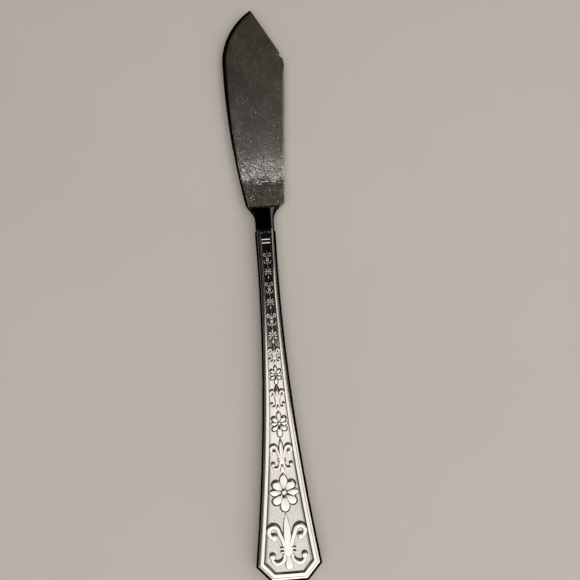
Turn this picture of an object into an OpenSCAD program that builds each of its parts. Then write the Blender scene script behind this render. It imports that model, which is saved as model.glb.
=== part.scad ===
// Butter knife with a hollow handle, lying on its back.
// The tip points along +Y, the spine faces +X and one ornamented side faces up.
// The origin is on the surface it lies on, under the middle of its length and width.

/* [Blade] */
// Length from the neck's ledge to the tip
blade_length = 70.4; // [60:0.1:85]
// Greatest width, from the cutting edge to the spine
blade_width = 19.6; // [18:0.1:23]
// Radius of the long belly from the heel to the widest place
belly_radius = 275; // [200:1:400]
// Radius of the cutting edge from the widest place to the tip
tip_radius = 25; // [22:0.5:32]
// Distance of the tip from the axis, toward the spine
tip_offset = 0.2; // [-1:0.1:1.5]
// Distance from the tip back to the centre of the spine's rounded corner
clip_length = 22.4; // [19:0.1:28]
// Radius of the spine's rounded corner
corner_radius = 12; // [8:0.5:16]
// Distance of the spine from the axis at the heel
heel_offset = 5.9; // [5:0.1:8]
// Depth of the small notch in the spine's corner
notch_depth = 0.6; // [0.3:0.1:1.5]
// Radius of the small notch
notch_radius = 1.2; // [0.8:0.1:2]
// Thickness of the blade at the spine
spine_thickness = 1.5; // [1.2:0.05:2]
// Thickness of the blade where the ground edge begins
belly_thickness = 1; // [0.7:0.05:1.1]
// Thickness of the blunt cutting edge
edge_thickness = 0.3; // [0.2:0.05:0.5]
// Width of the ground edge
ground_width = 1.2; // [0.6:0.1:2]

/* [Neck and tang] */
// Length from the handle's mouth to the end of the ledge
neck_length = 8.2; // [7:0.1:12]
// Width of the neck
neck_width = 5.6; // [5:0.1:5.8]
// Thickness of the neck
neck_thickness = 4.2; // [3.5:0.1:4.6]
// Radius of the neck's crowned faces
crown_radius = 9; // [7:0.1:12]
// Length of the neck's parallel stretch
neck_straight = 3.5; // [3:0.1:5]
// Radius of the hollow curve from the neck to the heel
heel_radius = 6; // [5:0.1:7]
// Length of the slope from the neck's face down to the blade's face
ledge_length = 1.2; // [0.8:0.1:2.5]
// Length of the tang inside the handle
tang_length = 52; // [30:1:65]
// Width of the tang
tang_width = 2.8; // [2:0.1:3]
// Thickness of the tang
tang_thickness = 1.6; // [1:0.1:1.8]

/* [Handle] */
// Length of the handle from its end to its mouth
handle_length = 96.8; // [90:0.1:104]
// Thickness of the handle over its two borders
handle_thickness = 5; // [4.8:0.1:6.5]
// Width of the handle at its narrowest place
waist_width = 5.9; // [5.9:0.1:7]
// Distance of the narrowest place from the mouth
waist_setback = 12; // [2:0.5:16]
// Radius of the handle's flared sides
flare_radius = 585; // [500:5:800]
// Width of the straight edge across the handle's end
end_width = 9.3; // [8:0.1:11]
// Angle of the end's cut corners
corner_angle = 46; // [42:1:58]
// Wall of each stamped shell
shell_wall = 0.6; // [0.4:0.05:0.7]

/* [Border and ornament] */
// Width of the sloping side, seen from above
side_width = 0.65; // [0.4:0.05:0.8]
// Width of the sloping band outside the raised border
band_width = 0.5; // [0.4:0.05:0.7]
// Width of the flat line between the band and the raised border
line_width = 0.1; // [0.05:0.05:0.2]
// Height of the band's slope
band_rise = 0.3; // [0.1:0.05:0.5]
// Depth of the step from the raised border to the band
band_step = 0.12; // [0.05:0.01:0.2]
// Width of the raised border
border_width = 0.55; // [0.4:0.05:0.7]
// Depth of the sunk panel below the border
panel_depth = 0.35; // [0.25:0.05:0.5]
// Height of the ornament above the panel
relief_height = 0.3; // [0.1:0.01:0.34]
// Width of the plain rim between the panel and the mouth
mouth_rim = 1; // [0.5:0.1:2]
// Distance from the mouth to the nearer cross bar
bar_setback = 2.8; // [1.6:0.1:4]
// Distance between the two cross bars
bar_pitch = 1.1; // [0.8:0.1:1.5]
// Thickness of a cross bar
bar_thickness = 0.45; // [0.3:0.05:0.6]
// Room between the end's border and the first motif
first_gap = 1.5; // [0.3:0.1:2]
// Length of a lily for each millimetre of the panel's half width
lily_gain = 1.6; // [1.4:0.05:2]
// Length of a daisy for each millimetre of the panel's half width
daisy_gain = 1.5; // [1.4:0.05:2]
// Length that every motif has besides
motif_base = 2.7; // [1.8:0.1:3.5]
// Gap between a daisy and the lilies beside it
motif_gap = 0.1; // [0.05:0.05:0.3]
// Clear margin between a motif and the border
motif_margin = 0.2; // [0.15:0.05:0.4]

/* [Joints] */
// Thickness of the solder between the shells and at the mouth
solder_thickness = 0.1; // [0.05:0.01:0.2]
// Bond line around the cement
bond_gap = 0.04; // [0.02:0.01:0.08]

/* [Hidden] */
$fn = 64;
long_arc_fn = 720; // facets of the arcs whose radius is far larger than the knife
cut = 0.5; // how far a cutting shape runs past what it cuts
reach = 1.5 * blade_width; // longer than any width of the knife
weld = 0.1; // how deep the ornament is rooted in the panel
flare_steps = 12; // straight stretches along each flared side

// Stations along the axis, measured from the handle's end
total_length = handle_length + neck_length + blade_length;
waist_y = handle_length - waist_setback;
flare_y = handle_length + neck_straight;
ledge_y = handle_length + neck_length;
tip = [tip_offset, total_length];

// Levels of a shell above its rim
shell_height = (handle_thickness - solder_thickness) / 2;
band_z = shell_height - band_step;
side_z = band_z - band_rise;
panel_z = shell_height - panel_depth;
cavity_height = panel_z - shell_wall;
border_inset = side_width + band_width + line_width;
panel_inset = border_inset + border_width;

// The belly's two arcs share a centre line, so they meet smoothly at the widest place
wide_y = tip[1] - sqrt(pow(tip_radius, 2) - pow(tip[0] + blade_width / 2 - tip_radius, 2));

// The spine's corner is a disc that the spine and the clip both touch
corner_centre = [blade_width / 2 - corner_radius, tip[1] - clip_length];
heel = [heel_offset, flare_y];
spine_angle = touch_angle(heel, 1);
clip_angle = touch_angle(tip, -1);
notch_angle = clip_angle - 6; // just before the clip begins

// Angle on the corner disc at which a line from a point touches it
function touch_angle(from, turn) =
    let (away = from - corner_centre)
    atan2(away[1], away[0]) + turn * acos(corner_radius / norm(away));
function direction(angle) = [cos(angle), sin(angle)];
function on_corner(angle) = corner_centre + corner_radius * direction(angle);

// Half the handle's width, and half the panel's, at a station
function handle_half(y) = waist_width / 2 + flare_radius - sqrt(pow(flare_radius, 2) - pow(waist_y - y, 2));
function panel_half(y) = handle_half(y) - panel_inset;
function flare_stations(length) = [for (k = [0 : flare_steps]) length * k / flare_steps];

// Lilies and daisies take turns and shrink with the panel, and the row stops at the cross bars
bars_y = handle_length - bar_setback - bar_pitch - bar_thickness;
function is_lily(index) = index % 2 == 0;
function motif_length(y, index) = (is_lily(index) ? lily_gain : daisy_gain) * panel_half(y) + motif_base;
function motif_starts(y, index) =
    let (end = y + motif_length(y, index))
    end > bars_y ? [] : concat([y], motif_starts(end, index + 1));
starts = motif_starts(panel_inset + first_gap, 0);

// Radius of an ellipse with the given half axes, at an angle from its long axis
function oval_radius(half_width, half_length, angle) =
    1 / sqrt(pow(sin(angle) / half_width, 2) + pow(cos(angle) / half_length, 2));

// Puts a shape made from the handle's end and the seam's plane into the knife's frame
module laid_down() {
    translate([0, -total_length / 2, handle_thickness / 2])
        children();
}

// Runs a section drawn across the knife along its axis
module along_axis(from, to) {
    translate([0, to, 0])
        rotate([90, 0, 0])
            linear_extrude(to - from)
                children();
}

// Runs a section drawn along the knife, or across an edge, sideways
module sideways() {
    rotate([90, 0, 90])
        linear_extrude(2 * reach, center = true)
            children();
}

// Blade, seen from above

module spine_side() {
    polygon([
        heel, on_corner(spine_angle), on_corner(clip_angle), tip,
        [-reach, tip[1]], [-reach, flare_y]
    ]);
    translate(corner_centre)
        circle(corner_radius);
}

module spine_notch() {
    away = corner_radius + notch_radius - notch_depth;
    translate(corner_centre + away * direction(notch_angle))
        circle(notch_radius);
}

module heel_hollows() {
    for (side = [-1, 1])
        translate([side * (neck_width / 2 + heel_radius), flare_y])
            circle(heel_radius);
}

module blade_plan() {
    difference() {
        spine_side();
        spine_notch();
        heel_hollows();
    }
}

// Disc whose rim is ground on both faces down to the cutting edge
module ground_disc(radius) {
    edge_half = edge_thickness / 2;
    slope = ground_width / (belly_thickness / 2 - edge_half);
    inner = radius - slope * (spine_thickness - edge_half);
    translate([radius - blade_width / 2, wide_y, 0])
        rotate_extrude($fn = long_arc_fn)
            polygon([
                [0, -spine_thickness], [inner, -spine_thickness], [radius, -edge_half],
                [radius, edge_half], [inner, spine_thickness], [0, spine_thickness]
            ]);
}

// Wedge from the thick spine to the thinner belly
module blade_wedge() {
    half = blade_width / 2;
    along_axis(flare_y - cut, total_length + cut)
        polygon([
            [-half, -belly_thickness / 2], [half, -spine_thickness / 2],
            [half, spine_thickness / 2], [-half, belly_thickness / 2]
        ]);
}

module blade_stretch(from, to, radius) {
    intersection() {
        linear_extrude(2 * spine_thickness, center = true)
            intersection() {
                blade_plan();
                translate([-reach, from])
                    square([2 * reach, to - from]);
            }
        ground_disc(radius);
        blade_wedge();
    }
}

// Neck and tang

module crown_section() {
    drop = crown_radius - neck_thickness / 2;
    intersection() {
        translate([0, drop])
            circle(crown_radius);
        translate([0, -drop])
            circle(crown_radius);
    }
}

// The neck's sides lean in as the handle's do, so it stays inside the mouth's outline
module neck_section() {
    half = neck_width / 2;
    top = neck_thickness / 2;
    intersection() {
        crown_section();
        polygon([
            [half, 0], [half - side_width, top], [side_width - half, top],
            [-half, 0], [side_width - half, -top], [half - side_width, -top]
        ]);
    }
}

// Air beside the flared shoulders, wider toward both faces
module shoulder_air() {
    for (side = [-1, 1], face = [0, 1])
        translate([side * (neck_width / 2 + heel_radius), flare_y, 0])
            mirror([0, 0, face])
                cylinder(h = neck_thickness / 2, r1 = heel_radius, r2 = heel_radius + side_width);
}

// Flared shoulders with the slope down to the blade's faces
module shoulders() {
    top = neck_thickness / 2;
    blade_top = belly_thickness / 2;
    slope_y = ledge_y - ledge_length;
    difference() {
        intersection() {
            along_axis(flare_y, ledge_y)
                crown_section();
            sideways()
                polygon([
                    [flare_y, -top], [slope_y, -top], [ledge_y, -blade_top],
                    [ledge_y, blade_top], [slope_y, top], [flare_y, top]
                ]);
        }
        shoulder_air();
    }
}

module tang_section() {
    square([tang_width, tang_thickness], center = true);
}

module blade() {
    color("dimgray")
        laid_down() {
            blade_stretch(flare_y, wide_y, belly_radius);
            blade_stretch(wide_y, total_length, tip_radius);
            along_axis(handle_length + solder_thickness, flare_y)
                neck_section();
            shoulders();
            along_axis(handle_length - tang_length, flare_y)
                tang_section();
        }
}

// Handle

// Places a shape drawn across an edge at the end and at its two cut corners
module round_the_end(inset) {
    translate([0, inset, 0])
        children();
    for (side = [-1, 1])
        translate([side * end_width / 2, 0, 0])
            rotate(side * corner_angle)
                translate([0, inset, 0])
                    children();
}

module handle_plan(inset, length) {
    right = [for (y = flare_stations(length)) [handle_half(y) - inset, y]];
    left = [for (k = [flare_steps : -1 : 0]) [-right[k][0], right[k][1]]];
    difference() {
        polygon(concat(right, left));
        round_the_end(inset)
            translate([-reach, -reach])
                square([2 * reach, reach]);
    }
}

// Section of the handle at a station, from below the rim up to the band's inner edge
function flared_section(y, inset) =
    let (
        rim = handle_half(y) - inset,
        side = rim - side_width,
        band = side - band_width
    )
    [
        [-rim, y, -cut], [rim, y, -cut], [rim, y, 0], [side, y, side_z],
        [band, y, band_z], [-band, y, band_z], [-side, y, side_z], [-rim, y, 0]
    ];

module loft(sections) {
    size = len(sections[0]);
    last = len(sections) - 1;
    polyhedron(
        points = [for (section = sections) each section],
        faces = concat(
            [[for (i = [size - 1 : -1 : 0]) i], [for (i = [0 : size - 1]) last * size + i]],
            [for (k = [0 : last - 1], i = [0 : size - 1])
                let (near = k * size, far = near + size, next = (i + 1) % size)
                [near + i, near + next, far + next, far + i]]
        )
    );
}

// Air outside the end's edge, drawn inward from the rim and up from it
module edge_air() {
    polygon([
        [-reach, -2 * cut], [0, -2 * cut], [0, 0], [side_width, side_z],
        [side_width + 2 * band_width, side_z + 2 * band_rise], [-reach, side_z + 2 * band_rise]
    ]);
}

// Solid inside the handle's sloping edges, between two levels
module moulded_block(inset, bottom, top, length) {
    difference() {
        intersection() {
            loft([for (y = flare_stations(length)) flared_section(y, inset)]);
            translate([-reach, -cut, bottom])
                cube([2 * reach, length + 2 * cut, top - bottom]);
        }
        round_the_end(inset)
            sideways()
                edge_air();
    }
}

// Ornament, seen from above

// Drop with its point on the origin and its round end away from it
module petal(length, width) {
    steps = 10;
    round_end = width / 2;
    middle = [0, length - round_end];
    spread = asin(round_end / middle[1]);
    sweep = 180 + 2 * spread;
    polygon(concat(
        [[0, 0]],
        [for (k = [0 : steps]) middle + round_end * direction(k * sweep / steps - spread)]
    ));
}

module pointed_leaf(length, width) {
    radius = (pow(length, 2) + pow(width, 2)) / (4 * width);
    intersection_for (side = [-1, 1])
        translate([side * (radius - width / 2), length / 2])
            circle(radius);
}

module daisy(half_width, half_length) {
    petal_width = 0.56 * half_width;
    boss_radius = 0.24 * half_width;
    root = boss_radius / 2;
    for (angle = [45 : 45 : 315])
        rotate(angle)
            translate([0, root])
                petal(oval_radius(half_width, half_length, angle) - root, petal_width);
    translate([0, root])
        pointed_leaf(half_length - root, petal_width);
    circle(boss_radius);
}

// Rib that leaves the foot, joins the coil on its inner side and curls outward round it,
// turned over for the left (side = -1) or downward (rise = -1)
module scroll(foot, coil, radius, rib, side, rise) {
    join = 150;
    curl_end = -90;
    turn = 15;
    across = rib / 2 * direction(join);
    inner = [for (angle = [join : -turn : curl_end]) coil + (radius - rib) * direction(angle)];
    outer = [for (angle = [curl_end : turn : join]) coil + radius * direction(angle)];
    curl = coil + (radius - rib) * direction(curl_end);
    ring = concat([foot - across], inner, outer, [foot + across]);
    order = side * rise > 0 ? [0 : len(ring) - 1] : [len(ring) - 1 : -1 : 0];
    polygon([for (i = order) [side * ring[i][0], rise * ring[i][1]]]);
    translate([side * curl[0], rise * curl[1]])
        circle(0.7 * rib);
}

// Lily with two scrolls above its waist band and two below, its foot on the origin
module fleur(half_width, length) {
    waist = 0.33 * length;
    rib = 0.2 * half_width;
    spear_width = 0.42 * half_width;
    drop_width = 0.28 * half_width;
    upper_coil = [0.66 * half_width, 0.66 * length - waist];
    lower_coil = [0.69 * half_width, 0.13 * length];
    translate([0, waist]) {
        for (side = [-1, 1]) {
            scroll([rib, 0], upper_coil, 0.34 * half_width, rib, side, 1);
            scroll([rib, 0], lower_coil, 0.3 * half_width, rib, side, -1);
        }
        pointed_leaf(length - waist, spear_width);
        square([2.7 * rib, 1.7 * rib], center = true);
        rotate(180)
            petal(waist, drop_width);
    }
}

// Each motif is as wide as the panel allows where the motif is widest
module motif(index) {
    start = starts[index];
    length = motif_length(start, index);
    middle = start + length / 2;
    if (is_lily(index))
        translate([0, start])
            fleur(panel_half(start + 0.75 * length) - motif_margin, length);
    else
        translate([0, middle])
            daisy(panel_half(middle) - motif_margin, length / 2 - motif_gap);
}

module cross_bars() {
    for (k = [0, 1]) {
        y = handle_length - bar_setback - k * bar_pitch;
        width = panel_half(y) - motif_margin;
        translate([-width, y - bar_thickness])
            square([2 * width, bar_thickness]);
    }
}

module ornament() {
    for (index = [0 : len(starts) - 1])
        motif(index);
    cross_bars();
}

// Handle pieces

module half_shell() {
    difference() {
        union() {
            moulded_block(0, 0, band_z, handle_length);
            translate([0, 0, panel_z])
                linear_extrude(panel_depth)
                    handle_plan(border_inset, handle_length);
        }
        translate([0, 0, panel_z])
            linear_extrude(panel_depth + cut)
                handle_plan(panel_inset, handle_length - mouth_rim);
        moulded_block(shell_wall, -cut, cavity_height, handle_length + cut);
    }
    translate([0, 0, panel_z - weld])
        linear_extrude(weld + relief_height)
            ornament();
}

module shell_on_seam() {
    translate([0, 0, solder_thickness / 2])
        half_shell();
}

module front_handle_shell() {
    color("silver")
        laid_down()
            shell_on_seam();
}

module back_handle_shell() {
    color("silver")
        laid_down()
            mirror([0, 0, 1])
                shell_on_seam();
}

module seam_solder() {
    color("lightgray")
        laid_down()
            linear_extrude(solder_thickness, center = true)
                difference() {
                    handle_plan(0, handle_length);
                    handle_plan(shell_wall, handle_length + cut);
                }
}

module mouth_solder() {
    color("lightgray")
        laid_down()
            along_axis(handle_length, handle_length + solder_thickness)
                difference() {
                    neck_section();
                    tang_section();
                }
}

module handle_cement() {
    inset = shell_wall + bond_gap;
    grown = 2 * bond_gap;
    color("tan")
        laid_down()
            difference() {
                for (side = [0, 1])
                    mirror([0, 0, side])
                        translate([0, 0, solder_thickness / 2])
                            moulded_block(inset, -solder_thickness, cavity_height - bond_gap, handle_length);
                along_axis(handle_length - tang_length - bond_gap, handle_length + cut)
                    square([tang_width + grown, tang_thickness + grown], center = true);
            }
}

blade();
front_handle_shell();
back_handle_shell();
seam_solder();
mouth_solder();
handle_cement();
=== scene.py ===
"""Finished look of a butter knife: a forged blade in two stamped handle shells with a row of flowers."""
import math

import bmesh
import bpy
from mathutils import Matrix, Vector


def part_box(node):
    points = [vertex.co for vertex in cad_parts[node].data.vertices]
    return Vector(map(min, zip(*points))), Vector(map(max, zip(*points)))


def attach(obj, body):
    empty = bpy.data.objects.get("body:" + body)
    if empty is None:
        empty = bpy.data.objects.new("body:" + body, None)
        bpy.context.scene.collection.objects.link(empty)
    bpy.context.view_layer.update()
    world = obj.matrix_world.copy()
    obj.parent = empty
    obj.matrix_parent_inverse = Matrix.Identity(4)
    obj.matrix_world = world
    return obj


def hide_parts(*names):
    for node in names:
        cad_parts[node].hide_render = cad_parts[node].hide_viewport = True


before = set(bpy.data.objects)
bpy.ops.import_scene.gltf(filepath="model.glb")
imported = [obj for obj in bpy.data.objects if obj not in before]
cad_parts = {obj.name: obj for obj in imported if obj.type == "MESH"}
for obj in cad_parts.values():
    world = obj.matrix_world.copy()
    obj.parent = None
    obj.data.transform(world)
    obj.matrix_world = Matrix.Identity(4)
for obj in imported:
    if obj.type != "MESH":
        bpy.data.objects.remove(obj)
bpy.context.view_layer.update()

# Sizes and places, in metres
mm = 0.001
handle_low, handle_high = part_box("front_handle_shell")
blade_low, blade_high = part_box("blade")
seam_low, seam_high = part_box("seam_solder")
_, mouth_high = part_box("mouth_solder")

# Stations along the knife
END_Y = handle_low.y
MOUTH_Y = handle_high.y
NECK_Y = mouth_high.y
TIP_Y = blade_high.y
TANG_Y = blade_low.y

# Levels
RIM_Z = handle_low.z
TOP_Z = handle_high.z
SEAM_Z = (seam_low.z + seam_high.z) / 2

# Handle's plan
WAIST_WIDTH = 5.9 * mm
WAIST_Y = MOUTH_Y - 12 * mm
FLARE_RADIUS = 585 * mm
END_WIDTH = 9.3 * mm
CORNER_ANGLE = math.radians(46)
SHELL_WALL = 0.6 * mm
CAVITY_HEIGHT = 1.5 * mm

# Mouldings of the handle's edge, from the rim inward
SIDE_WIDTH = 0.65 * mm
BAND_WIDTH = 0.4 * mm
LINE_WIDTH = 0.1 * mm
BORDER_WIDTH = 1 * mm
STEP_LEAN = 0.05 * mm
CREST_WIDTH = 0.12 * mm
WALL_LEAN = 0.16 * mm
WALL_FOOT = 0.16 * mm
BAND_RISE = 0.16 * mm
BAND_STEP = 0.2 * mm
PANEL_DEPTH = 0.4 * mm
MOUTH_RIM = 1 * mm
TOP_WALL_LEAN = 0.2
END_WALL_EXTRA = 0.28 * mm
BORDER_INSET = SIDE_WIDTH + BAND_WIDTH + LINE_WIDTH
PANEL_INSET = BORDER_INSET + BORDER_WIDTH
CREST_INSET = PANEL_INSET - WALL_LEAN - CREST_WIDTH
BAND_Z = TOP_Z - BAND_STEP
SIDE_Z = BAND_Z - BAND_RISE
PANEL_Z = TOP_Z - PANEL_DEPTH
PANEL_TOP_Y = MOUTH_Y - MOUTH_RIM

# The panel is matted at its wide end, bright in the middle and painted darker up to the mouth, as shade with
# some tarnish
MATTED_END = END_Y + 17 * mm
BRIGHT_START = END_Y + 41 * mm
UPPER_START = END_Y + 54 * mm
UPPER_END = END_Y + 66 * mm

# The panel's wall is darkened with tarnish and painted shade across the end and at the foot of the sides,
# less so in the middle
WALL_END_Y = END_Y + 5 * mm
WALL_MOUTH_Y = PANEL_TOP_Y - 0.1 * mm
WALL_LIGHTER_START = END_Y + 26 * mm
WALL_LIGHTER_END = END_Y + 38 * mm

# Tarnish and painted shade, from 0 for none to 1 for black
# The sloping side is painted dark: painted shade that stands in for the dark reflection it shows
SIDE_PAINTED_SHADE = 0.95
# The line beside the border is darkened: tarnish and painted shade in its groove
LINE_TARNISH_AND_SHADE = 0.6
WALL_TARNISH_AND_SHADE = 0.92
MIDDLE_WALL_TARNISH_AND_SHADE = 0.47

# The border leans outward, and less so close to the mouth
BORDER_LEAN = 0.1 * mm
LEVEL_START = END_Y + 77 * mm
LEVEL_END = END_Y + 89 * mm

# The border narrows toward the mouth
BORDER_LOSS = 0.47
NARROW_START = END_Y + 37 * mm
NARROW_END = END_Y + 70 * mm

# Fineness of the handle's mesh, and the angle in degrees past which an edge stays sharp
SIDE_STEPS = 240
CUT_STEPS = 12
FLOOR_COLUMNS = 16
STEM_STEPS = 10
CURL_STEPS = 26
RIB_STEPS = 10
FILM_STEPS = 4
HANDLE_SHARP = 32

# Ornament
RELIEF = 0.38 * mm
RIB_RISE = 0.9
FOOT_HEIGHT = 0.08 * mm
FILM = 0.02 * mm
FILM_RISE = 0.04
ROW_START = END_Y + 3.3 * mm
LILY_GAIN = 1.6
DAISY_GAIN = 1.5
MOTIF_BASE = 2.7 * mm
MOTIF_INSET = 1.8 * mm
MOTIF_MARGIN = 0.12 * mm
BAR_SETBACK = 2.8 * mm
BAR_PITCH = 1.1 * mm
BAR_THICKNESS = 0.55 * mm
PETALS = 8

# Petals from the top one round to the bottom one: shape, half width and reach as shares
# of the daisy's, and how far the painted shadow film shows beside and beyond them
PETAL_FORMS = (
    ("pointed_petal", 0.28, 0.95, 0.6, 0.3),
    ("petal", 0.29, 0.84, 0.9, 2.4),
    ("pointed_petal", 0.24, 0.98, 1.3, 0.5),
    ("petal", 0.29, 0.9, 0.8, 1.9),
    ("petal", 0.32, 0.95, 0.8, 1.7),
)

# Away from the end the lilies' bodies get fuller, with painted shadow beside their spears
FULL_START = END_Y + 18 * mm
FULL_END = END_Y + 45 * mm
SPEAR_SHADOW = 0.45 * mm

# Toward the mouth the petals and ribs get slimmer, by this share at most
SLIM_SHARE = 0.6
SLIM_START = END_Y + 49 * mm
SLIM_END = END_Y + 81 * mm

# Blade's plan
HALF_BLADE = (blade_high.x - blade_low.x) / 2
BELLY_RADIUS = 275 * mm
TIP_RADIUS = 25 * mm
TIP_X = 0.2 * mm
CORNER_RADIUS = 12 * mm
CORNER_X = HALF_BLADE - CORNER_RADIUS
CORNER_Y = TIP_Y - 22.4 * mm
NOTCH_DEPTH = 0.6 * mm
NOTCH_RADIUS = 1.2 * mm
NOTCH_LEAD = math.radians(6)
WIDE_Y = TIP_Y - math.sqrt(TIP_RADIUS ** 2 - (TIP_X + HALF_BLADE - TIP_RADIUS) ** 2)

# Blade's section
SPINE_HALF = 0.75 * mm
BELLY_HALF = 0.5 * mm
EDGE_HALF = 0.15 * mm
GROUND_WIDTH = 1.2 * mm
HEEL_GROUND_WIDTH = 0.6 * mm
SPINE_CHAMFER = 0.32 * mm
SPINE_DROP = 0.19 * mm

# The spine's bevel fades out round its corner, and the ground edge's polish by shares of its width
CORNER_SPAN = (-6 * mm, 3 * mm)
GROUND_SPAN = (0.85, 1.05)

# Neck and tang
NECK_HALF = 2.8 * mm
NECK_TOP = 2.1 * mm
CROWN_RADIUS = 9 * mm
FLARE_Y = MOUTH_Y + 3.5 * mm
HEEL_RADIUS = 6 * mm
HEEL_X = 5.9 * mm
LEDGE_Y = MOUTH_Y + 8.2 * mm
LEDGE_LENGTH = 1.2 * mm
NECK_SIDE = 0.4 * mm
HEEL_BLEND = 0.8 * mm
NECK_BLEND = 0.3 * mm
LEDGE_BLEND = 0.4 * mm
TANG_HALF_WIDTH = 1.4 * mm
TANG_HALF_THICKNESS = 0.8 * mm
TANG_TAPER = 3 * mm
TANG_END_SHARE = 0.6
TANG_POLISH = 0.5

# The ledge's line wavers in two ripples, in radians for each metre across
LEDGE_WAVE = 0.12 * mm
LONG_RIPPLE = 1.1 / mm
SHORT_RIPPLE = 2.6 / mm

# Where the blade changes, as spans of distance from the ledge
POLISH_SPAN = (-0.6 * mm, 0.2 * mm)
STAIN_SPAN = (0.15 * mm, 0.6 * mm)
CHAMFER_SPAN = (2 * mm, 6 * mm)
BROWN_SPAN = (8 * mm, 10.5 * mm)
SCUFF_RISE_SPAN = (7.4 * mm, 10.4 * mm)
SCUFF_FALL_SPAN = (10 * mm, 25 * mm)
SPECK_SPAN = (7 * mm, 45 * mm)
WARM_SPAN = (15 * mm, 60 * mm)
RAGGED_EDGE = 1.4 * mm

# Two knocks across the blade: distance from the ledge, left end and right end
KNOCKS = (
    (7.3 * mm, -1.3 * mm, 0.1 * mm),
    (8 * mm, -0.6 * mm, 2.4 * mm),
)
KNOCK_WIDTH = 0.15 * mm

# Fineness of the blade's mesh, and the angle in degrees past which an edge stays sharp
PLAIN_STEP = 0.5 * mm
HEEL_STEP = 0.1 * mm
NOTCH_STEP = 0.06 * mm
CLIP_STEP = 0.3 * mm
POINT_STEP = 0.1 * mm
POINT_LENGTH = 2 * mm
POINT_CUT = 0.05 * mm
EDGE_COLUMNS = 6
MIDDLE_COLUMNS = 28
BLADE_SHARP = 35


# Mesh making

class Shape:
    """Vertices and faces of a piece while it is put together, with a few values for each vertex."""

    def __init__(self, *values):
        self.points = []
        self.faces = []
        self.values = {name: [] for name in values}

    def row(self, points, **values):
        """Adds points, each value being one number for them all or a list with one for each."""
        first = len(self.points)
        self.points += [tuple(point) for point in points]
        for name, numbers in self.values.items():
            value = values.get(name, 0.0)
            numbers += value if isinstance(value, list) else [value] * len(points)
        return list(range(first, len(self.points)))

    def strip(self, near, far, closed):
        """Joins two rows of the same length with faces."""
        pairs = list(zip(near, far))
        if closed:
            pairs.append(pairs[0])
        for (a, b), (c, d) in zip(pairs, pairs[1:]):
            self.faces.append((a, c, d, b))

    def skin(self, rings, closed=True, capped=False):
        """Joins each row to the next, and closes the first and the last where they are to be capped."""
        for near, far in zip(rings, rings[1:]):
            self.strip(near, far, closed)
        if capped:
            self.faces += [rings[0], rings[-1]]

    def fill(self, ring):
        """Closes a ring whose two halves mirror each other with faces straight across."""
        last = len(ring) - 1
        for k in range(last // 2):
            self.faces.append((ring[k], ring[k + 1], ring[last - k - 1], ring[last - k]))

    def mesh(self, name):
        made = bpy.data.meshes.new(name)
        made.from_pydata(self.points, [], self.faces)
        for value, numbers in self.values.items():
            made.attributes.new(value, "FLOAT", "POINT").data.foreach_set("value", numbers)
        return made


def tidy(mesh):
    """Merges doubled vertices and turns every face outward."""
    doubles_apart, sliver = 0.0005 * mm, 0.0002 * mm
    work = bmesh.new()
    work.from_mesh(mesh)
    bmesh.ops.remove_doubles(work, verts=work.verts, dist=doubles_apart)
    bmesh.ops.dissolve_degenerate(work, edges=work.edges, dist=sliver)
    bmesh.ops.recalc_face_normals(work, faces=work.faces)
    work.to_mesh(mesh)
    work.free()


def shade(mesh, sharp_angle):
    mesh.shade_smooth()
    mesh.set_sharp_from_angle(angle=math.radians(sharp_angle))


def new_object(name, data):
    made = bpy.data.objects.new(name, data)
    bpy.context.scene.collection.objects.link(made)
    return made


def smooth_step(low, high, value):
    share = min(max((value - low) / (high - low), 0.0), 1.0)
    return share * share * (3 - 2 * share)


# Node trees

def put(tree, kind, inputs=None, **settings):
    """Adds a node. Inputs map a socket's name or number to a value or to another node's output."""
    made = tree.nodes.new(kind)
    for name, value in settings.items():
        setattr(made, name, value)
    for key, value in (inputs or {}).items():
        if isinstance(value, bpy.types.NodeSocket):
            tree.links.new(value, made.inputs[key])
        else:
            made.inputs[key].default_value = value
    return made


def new_tree(name, kind, inputs, outputs):
    """A node group with named sockets, each given as (name, kind) or as (name, kind, default)."""
    tree = bpy.data.node_groups.new(name, kind)
    for label, socket, *default in inputs:
        made = tree.interface.new_socket(label, in_out="INPUT", socket_type="NodeSocket" + socket)
        if default:
            made.default_value = default[0]
    for label, socket in outputs:
        tree.interface.new_socket(label, in_out="OUTPUT", socket_type="NodeSocket" + socket)
    return tree, put(tree, "NodeGroupInput").outputs, put(tree, "NodeGroupOutput").inputs


def run_tree(obj, tree, **values):
    """Runs a geometry tree on an object and leaves the result as its plain mesh."""
    modifier = obj.modifiers.new(tree.name, "NODES")
    modifier.node_group = tree
    for item in tree.interface.items_tree:
        label = item.name.lower().replace(" ", "_")
        if item.in_out == "INPUT" and label in values:
            modifier[item.identifier] = values[label]
    graph = bpy.context.evaluated_depsgraph_get()
    result = bpy.data.meshes.new_from_object(obj.evaluated_get(graph))
    obj.modifiers.clear()
    obj.data = result
    return obj


# Handle's plan and edge mouldings

def handle_half(y):
    return WAIST_WIDTH / 2 + FLARE_RADIUS - math.sqrt(FLARE_RADIUS ** 2 - (WAIST_Y - y) ** 2)


def inset_at(inset, y):
    """An inset, drawn together past the border's outer edge where the border narrows."""
    loss = BORDER_LOSS * smooth_step(NARROW_START, NARROW_END, y)
    return inset - loss * max(inset - BORDER_INSET, 0.0)


def side_x(inset, y):
    return handle_half(y) - inset_at(inset, y)


def panel_half(y):
    return side_x(PANEL_INSET, y)


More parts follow.
